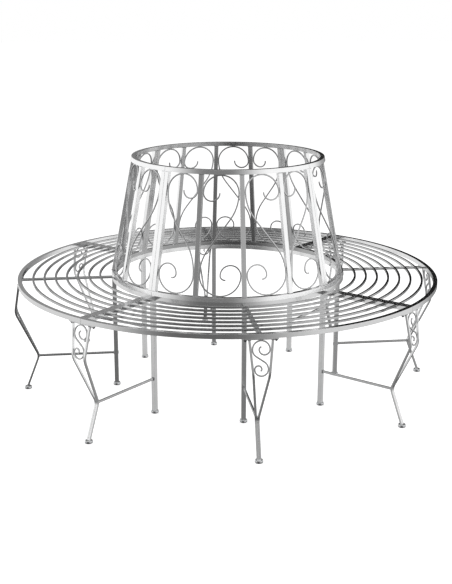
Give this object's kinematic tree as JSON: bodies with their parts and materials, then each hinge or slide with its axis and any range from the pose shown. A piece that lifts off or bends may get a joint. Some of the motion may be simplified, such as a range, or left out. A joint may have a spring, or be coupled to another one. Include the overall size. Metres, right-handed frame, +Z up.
{
  "type": "tree bench",
  "caption": "Round metal bench that encircles a tree trunk, with slim curved seat rods, a tapered backrest with scrollwork and splayed scrolled legs.",
  "frame": {"origin": "On the ground under the middle of the trunk opening, the centre of all the rings.", "axes": "+Z up along the trunk, -Y towards the middle of the front panel, +X to the right of someone who faces the bench."},
  "size_m": [1.637, 1.637, 0.9],
  "materials": {
    "tube_steel": "galvanised silver, semi-gloss",
    "rod_steel": "galvanised silver, semi-gloss",
    "scroll_wire": "galvanised silver, semi-gloss",
    "foot_glides": "bright zinc plate",
    "bolts": "zinc plated"
  },
  "bodies": {
    "root": {"back_lower_ring": "tube_steel", "back_posts_front": "tube_steel", "back_posts_left": "tube_steel", "back_posts_rear": "tube_steel", "back_posts_right": "tube_steel", "back_scrolls_front": "scroll_wire", "back_scrolls_left": "scroll_wire", "back_scrolls_rear": "scroll_wire", "back_scrolls_right": "scroll_wire", "back_upper_ring": "tube_steel", "inner_feet": "foot_glides", "inner_leg_1": "tube_steel", "inner_leg_2": "tube_steel", "inner_leg_3": "tube_steel", "inner_leg_4": "tube_steel", "inner_leg_5": "tube_steel", "inner_leg_6": "tube_steel", "inner_leg_7": "tube_steel", "inner_leg_8": "tube_steel", "leg_plates": "rod_steel", "leg_scrolls": "scroll_wire", "outer_feet": "foot_glides", "outer_leg_1": "rod_steel", "outer_leg_2": "rod_steel", "outer_leg_3": "rod_steel", "outer_leg_4": "rod_steel", "outer_leg_5": "rod_steel", "outer_leg_6": "rod_steel", "outer_leg_7": "rod_steel", "outer_leg_8": "rod_steel", "plate_bolts": "bolts", "seat_end_bars_front": "tube_steel", "seat_end_bars_left": "tube_steel", "seat_end_bars_rear": "tube_steel", "seat_end_bars_right": "tube_steel", "seat_inner_rim": "tube_steel", "seat_mid_bars": "rod_steel", "seat_outer_rim": "tube_steel", "seat_rod_ring_1": "rod_steel", "seat_rod_ring_2": "rod_steel", "seat_rod_ring_3": "rod_steel", "seat_rod_ring_4": "rod_steel", "seat_rod_ring_5": "rod_steel", "seat_rod_ring_6": "rod_steel", "seat_rod_ring_7": "rod_steel", "stretcher_bolts": "bolts", "stretchers": "rod_steel"}
  },
  "joints": []
}
